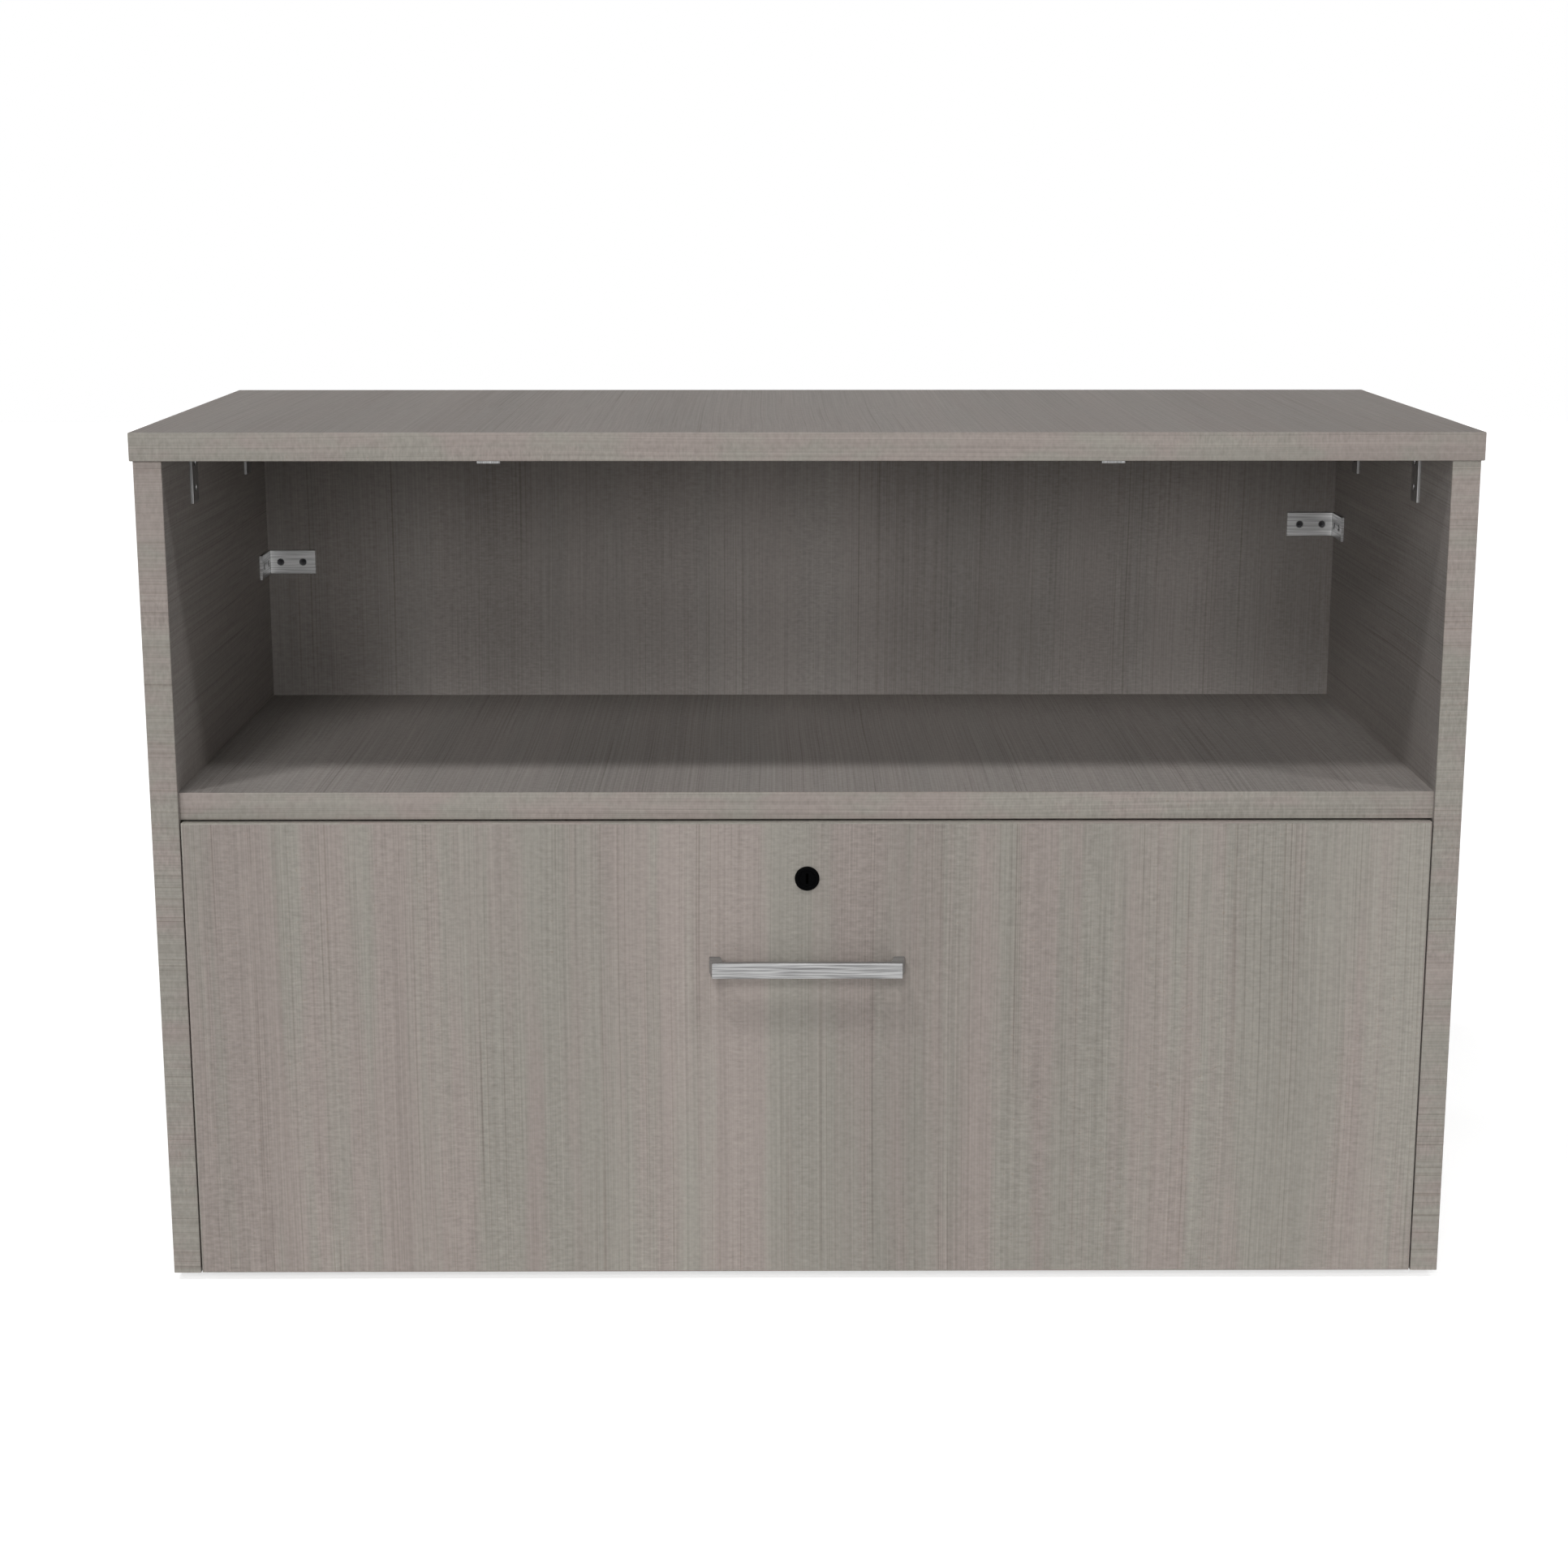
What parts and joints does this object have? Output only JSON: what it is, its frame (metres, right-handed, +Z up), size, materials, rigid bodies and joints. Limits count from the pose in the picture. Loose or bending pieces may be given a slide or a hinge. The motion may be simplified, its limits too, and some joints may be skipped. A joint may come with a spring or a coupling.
{
  "type": "credenza",
  "caption": "Low office credenza in grey woodgrain laminate: an open compartment over a wide lateral file drawer with a bar pull, cam lock and full-extension ball slides.",
  "frame": {"origin": "on the floor, under the middle of the box that holds the whole closed credenza", "axes": "+X to the right as seen from the front, +Y to the back, +Z up"},
  "size_m": [0.9018, 0.4032, 0.6],
  "materials": {
    "woodgrain": "matt grey-brown woodgrain laminate on board, grain upright on the fronts",
    "edge_band": "matt woodgrain edge banding that matches the laminate",
    "brushed_hardware": "brushed nickel, streaks along the length",
    "black_lock": "satin black",
    "zinc_steel": "bright zinc-plated sheet steel",
    "screw_steel": "dark zinc-plated steel",
    "drawer_board": "plain pale grey melamine-faced board",
    "dowel_beech": "fluted beech",
    "glide_nylon": "moulded black nylon"
  },
  "bodies": {
    "case": {"top_panel": "woodgrain", "top_edge_band": "edge_band", "left_end_panel": "woodgrain", "right_end_panel": "woodgrain", "left_end_edge_band": "edge_band", "right_end_edge_band": "edge_band", "back_panel": "woodgrain", "fixed_shelf": "woodgrain", "shelf_edge_band": "edge_band", "bottom_panel": "woodgrain", "end_top_braces": "brushed_hardware", "back_top_braces": "brushed_hardware", "back_corner_braces": "brushed_hardware", "brace_screws": "screw_steel", "panel_dowels": "dowel_beech", "back_screws": "screw_steel", "case_screws": "screw_steel", "left_case_rail": "zinc_steel", "right_case_rail": "zinc_steel", "lock_strike": "zinc_steel", "glide_inserts": "zinc_steel"},
    "drawer": {"drawer_front": "woodgrain", "drawer_front_edge_band": "edge_band", "drawer_left_side": "drawer_board", "drawer_right_side": "drawer_board", "drawer_inner_front": "drawer_board", "drawer_back": "drawer_board", "drawer_bottom": "drawer_board", "front_file_rail": "zinc_steel", "rear_file_rail": "zinc_steel", "pull": "brushed_hardware", "pull_screws": "screw_steel", "lock_barrel": "black_lock", "lock_nut": "zinc_steel", "drawer_front_screws": "screw_steel", "left_drawer_rail": "zinc_steel", "right_drawer_rail": "zinc_steel", "drawer_rail_screws": "screw_steel"},
    "lock_core": {"lock_plug": "black_lock", "lock_cam": "zinc_steel", "lock_cam_screw": "screw_steel"},
    "middle_rails": {"left_middle_rail": "zinc_steel", "right_middle_rail": "zinc_steel"},
    "outer_ball_cages": {"left_outer_ball_cage": "zinc_steel", "right_outer_ball_cage": "zinc_steel"},
    "inner_ball_cages": {"left_inner_ball_cage": "zinc_steel", "right_inner_ball_cage": "zinc_steel"},
    "front_left_glide": {"front_left_glide_foot": "glide_nylon", "front_left_glide_stud": "zinc_steel"},
    "front_right_glide": {"front_right_glide_foot": "glide_nylon", "front_right_glide_stud": "zinc_steel"},
    "rear_left_glide": {"rear_left_glide_foot": "glide_nylon", "rear_left_glide_stud": "zinc_steel"},
    "rear_right_glide": {"rear_right_glide_foot": "glide_nylon", "rear_right_glide_stud": "zinc_steel"}
  },
  "joints": [
    {"name": "drawer_slide", "type": "slide", "parent": "case", "child": "drawer", "axis": [0, -1, 0], "range_m": [0, 0.3048]},
    {"name": "middle_rail_slide", "type": "slide", "parent": "case", "child": "middle_rails", "axis": [0, -1, 0], "range_m": [0, 0.1524]},
    {"name": "outer_cage_slide", "type": "slide", "parent": "case", "child": "outer_ball_cages", "axis": [0, -1, 0], "range_m": [0, 0.0762]},
    {"name": "inner_cage_slide", "type": "slide", "parent": "case", "child": "inner_ball_cages", "axis": [0, -1, 0], "range_m": [0, 0.2286]},
    {"name": "lock_turn", "type": "hinge", "parent": "drawer", "child": "lock_core", "pos_m": [0, -0.18375, 0.2943], "axis": [0, -1, 0], "range_deg": [0, 90]},
    {"name": "front_left_glide_turn", "type": "hinge", "parent": "case", "child": "front_left_glide", "pos_m": [-0.3848, -0.13875, 0], "axis": [0, 0, 1], "continuous": true},
    {"name": "front_right_glide_turn", "type": "hinge", "parent": "case", "child": "front_right_glide", "pos_m": [0.3848, -0.13875, 0], "axis": [0, 0, 1], "continuous": true},
    {"name": "rear_left_glide_turn", "type": "hinge", "parent": "case", "child": "rear_left_glide", "pos_m": [-0.3848, 0.14065, 0], "axis": [0, 0, 1], "continuous": true},
    {"name": "rear_right_glide_turn", "type": "hinge", "parent": "case", "child": "rear_right_glide", "pos_m": [0.3848, 0.14065, 0], "axis": [0, 0, 1], "continuous": true}
  ],
  "couplings": [
    {"joint": "middle_rail_slide", "follows": "drawer_slide", "ratio": 0.5},
    {"joint": "outer_cage_slide", "follows": "drawer_slide", "ratio": 0.25},
    {"joint": "inner_cage_slide", "follows": "drawer_slide", "ratio": 0.75}
  ]
}
